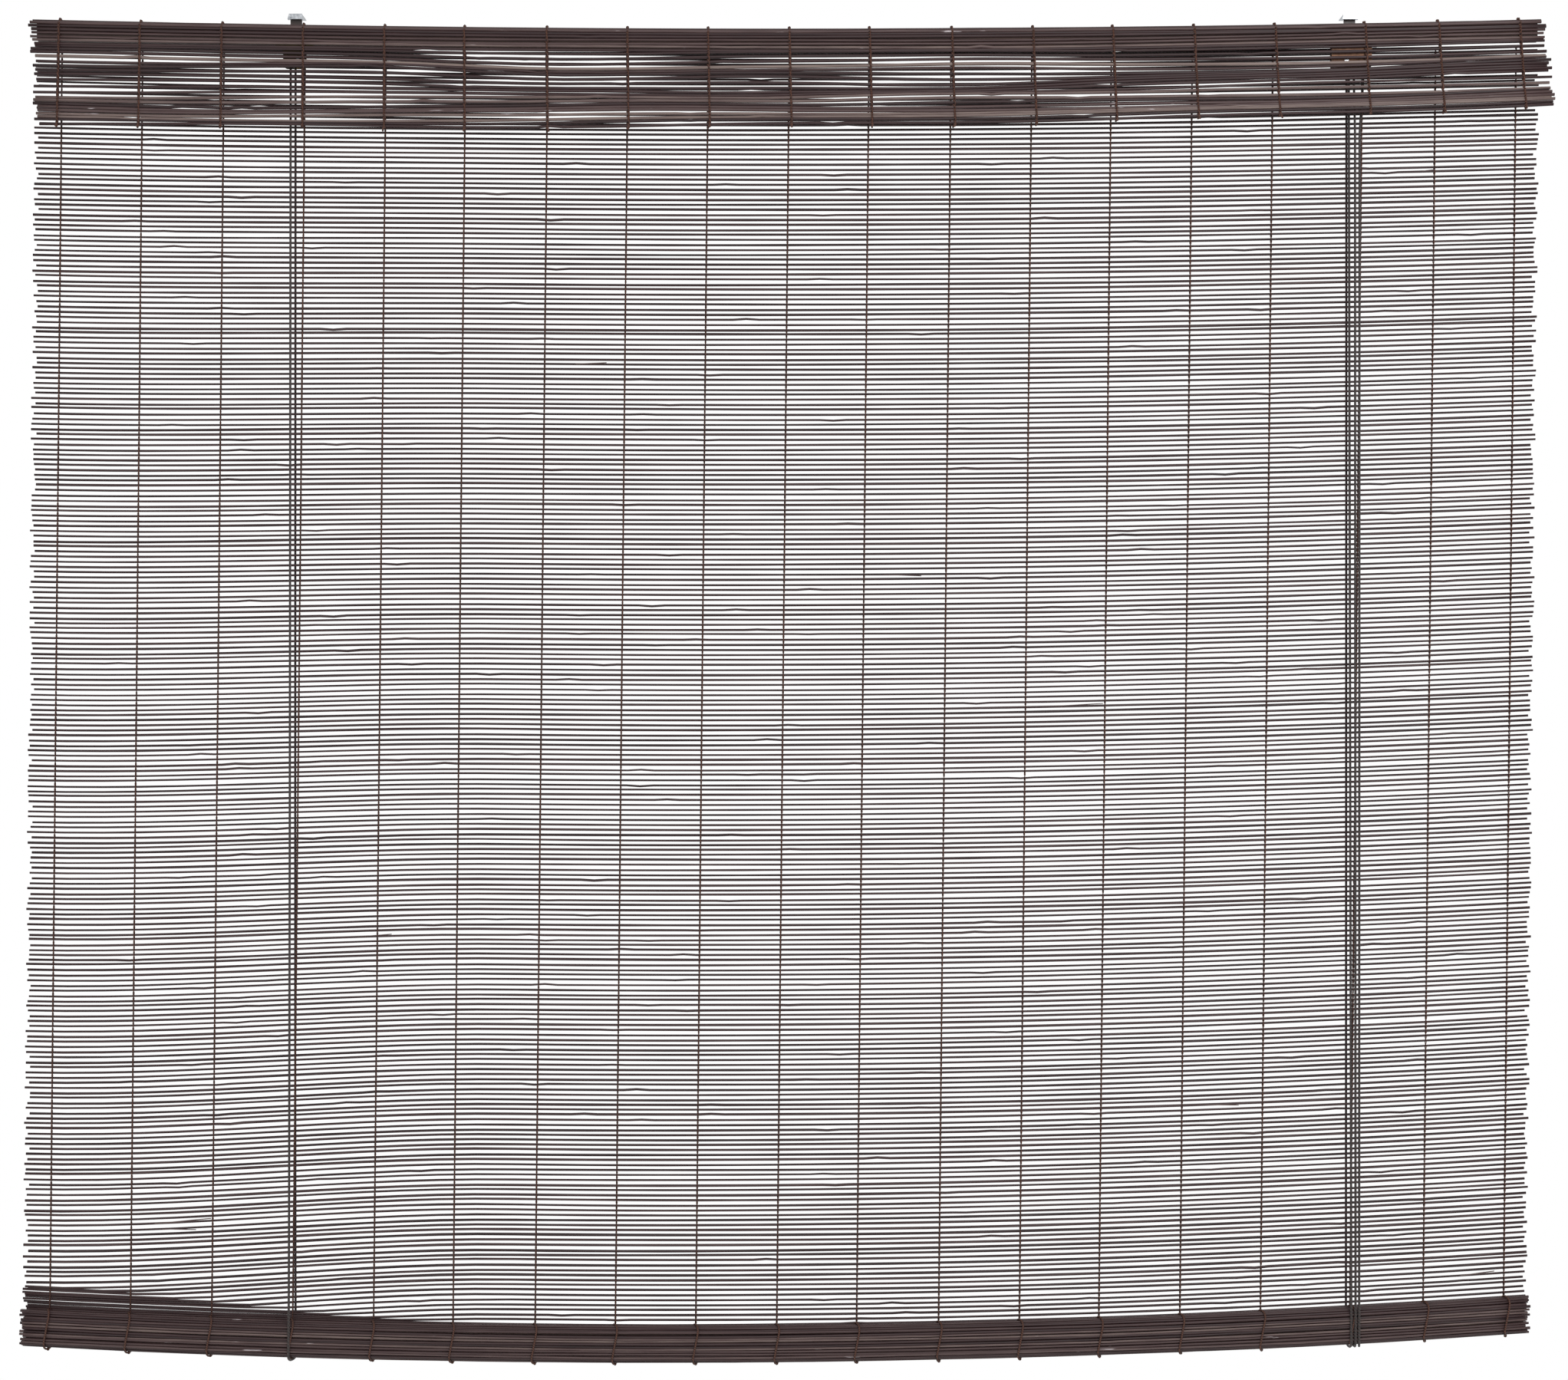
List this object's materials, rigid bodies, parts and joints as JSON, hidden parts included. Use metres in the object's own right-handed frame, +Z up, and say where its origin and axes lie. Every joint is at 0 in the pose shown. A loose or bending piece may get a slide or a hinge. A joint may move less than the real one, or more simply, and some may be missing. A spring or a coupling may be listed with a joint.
{
  "type": "bamboo roll up blind",
  "caption": "Roll up window blind woven from thin dark bamboo sticks, with a front valance, a wrapped hem, and lift cords over pulleys behind the valance.",
  "frame": {"origin": "midway between the two ceiling screw holes, on the clips' top faces", "axes": "+X along the width, +Y back towards the window, +Z up"},
  "size_m": [1.8291, 0.0518, 1.6166],
  "materials": {
    "bamboo_stick": "lacquered dark brown, satin",
    "batten_wood": "stained",
    "mat_thread": "twisted cotton thread",
    "braided_cord": "braided polyester",
    "bright_zinc": "bright zinc plate",
    "browned_steel": "brown enamel",
    "aged_brass": "dull brass plate",
    "coppered_steel": "copper plate",
    "sheave_brass": "turned",
    "screw_steel": "plain"
  },
  "bodies": {
    "head": {"head_batten": "batten_wood", "head_wrap_sticks": "bamboo_stick", "valance_sticks": "bamboo_stick", "valance_threads": "mat_thread", "sheet_sticks": "bamboo_stick", "sheet_threads": "mat_thread", "left_ceiling_clip": "bright_zinc", "right_ceiling_clip": "bright_zinc", "left_hanger": "browned_steel", "right_hanger": "browned_steel", "hanger_screws": "screw_steel", "single_pulley_frame": "aged_brass", "single_pulley_axle": "screw_steel", "single_pulley_screws": "screw_steel", "double_pulley_frame": "coppered_steel", "double_pulley_axles": "screw_steel", "double_pulley_screws": "screw_steel", "mat_staples": "screw_steel", "left_screw_eye": "screw_steel", "right_screw_eye": "screw_steel", "left_lift_cord": "braided_cord", "right_lift_cord": "braided_cord", "front_pull_cord": "braided_cord", "back_pull_cord": "braided_cord", "left_anchor_knot": "braided_cord", "right_anchor_knot": "braided_cord", "front_pull_knot": "braided_cord", "back_pull_knot": "braided_cord"},
    "hem": {"bottom_lath": "batten_wood", "hem_sticks": "bamboo_stick", "hem_threads": "mat_thread"},
    "single_sheave": {"single_pulley_sheave": "sheave_brass"},
    "front_sheave": {"double_pulley_front_sheave": "sheave_brass"},
    "back_sheave": {"double_pulley_back_sheave": "sheave_brass"}
  },
  "joints": [
    {"name": "hem_lift", "type": "slide", "parent": "head", "child": "hem", "axis": [0, 0, 1], "range_m": [0, 1.38], "deforming": ["sheet_sticks", "sheet_threads", "left_lift_cord", "right_lift_cord"]},
    {"name": "single_sheave_spin", "type": "hinge", "parent": "head", "child": "single_sheave", "pos_m": [-0.6278, -0.026, -0.057], "axis": [0, 1, 0], "continuous": true},
    {"name": "front_sheave_spin", "type": "hinge", "parent": "head", "child": "front_sheave", "pos_m": [0.6259, -0.026, -0.057], "axis": [0, 1, 0], "continuous": true},
    {"name": "back_sheave_spin", "type": "hinge", "parent": "head", "child": "back_sheave", "pos_m": [0.6392, -0.0202, -0.057], "axis": [0, 1, 0], "continuous": true}
  ],
  "couplings": [
    {"joint": "single_sheave_spin", "follows": "hem_lift", "rad_per_m": 222.22},
    {"joint": "front_sheave_spin", "follows": "hem_lift", "rad_per_m": 222.22},
    {"joint": "back_sheave_spin", "follows": "hem_lift", "rad_per_m": 222.22}
  ]
}
